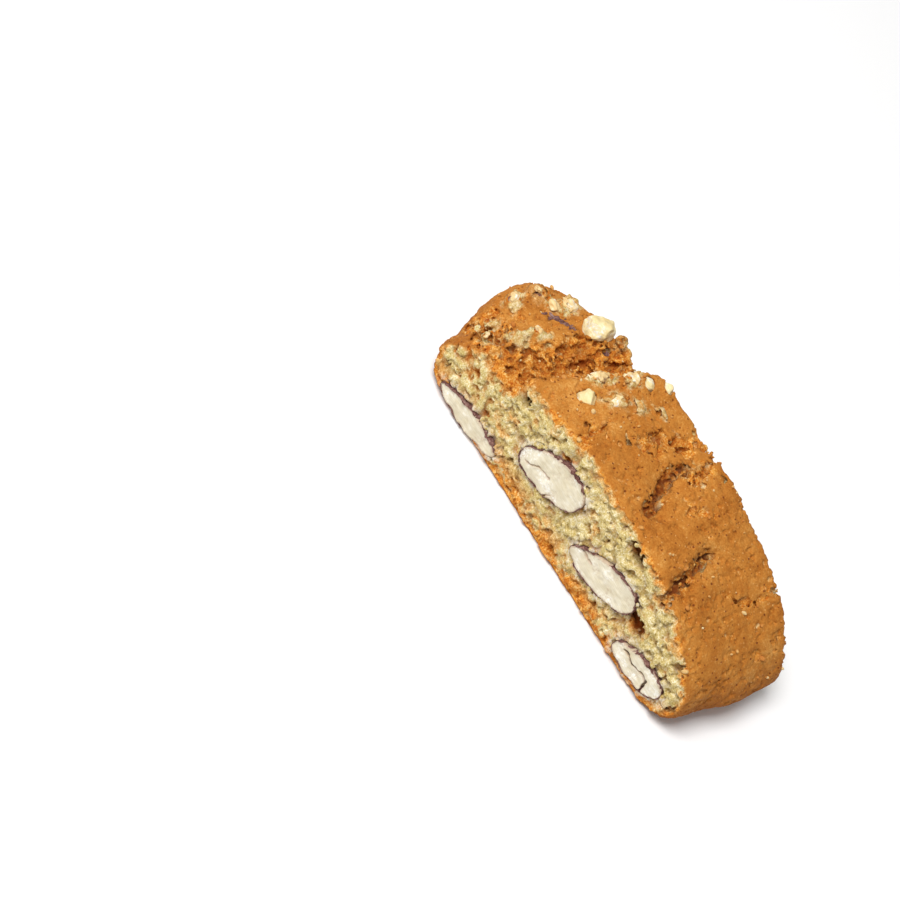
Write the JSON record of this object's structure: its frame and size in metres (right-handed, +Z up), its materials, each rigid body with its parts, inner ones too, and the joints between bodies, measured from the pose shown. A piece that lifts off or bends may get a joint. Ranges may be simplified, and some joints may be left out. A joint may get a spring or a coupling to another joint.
{
  "type": "almond biscotti slice",
  "caption": "Slice of twice-baked almond biscuit: domed browned crust with a deep burst, flat base, and cut faces of pale crumb with cut almonds.",
  "frame": {"origin": "centre of the bounding box in plan, at the level of the flat base", "axes": "+X along the slice's length, Y across it from one knife cut to the other, +Z up from the base through the domed crown"},
  "size_m": [0.0896, 0.027, 0.028],
  "materials": {
    "baked_dough": "matt, dry and porous: golden brown crust, pale yellow crumb at the cuts",
    "almond": "matt, cut nut flesh with a thin brown skin",
    "nut_chip": "matt, toasted nut"
  },
  "bodies": {
    "root": {"biscuit": "baked_dough", "almond_1": "almond", "almond_2": "almond", "almond_3": "almond", "almond_4": "almond", "almond_5": "almond", "almond_6": "almond", "almond_7": "almond", "nut_chip_1": "nut_chip", "nut_chip_2": "nut_chip", "nut_chip_3": "nut_chip", "nut_chip_4": "nut_chip"}
  },
  "joints": []
}
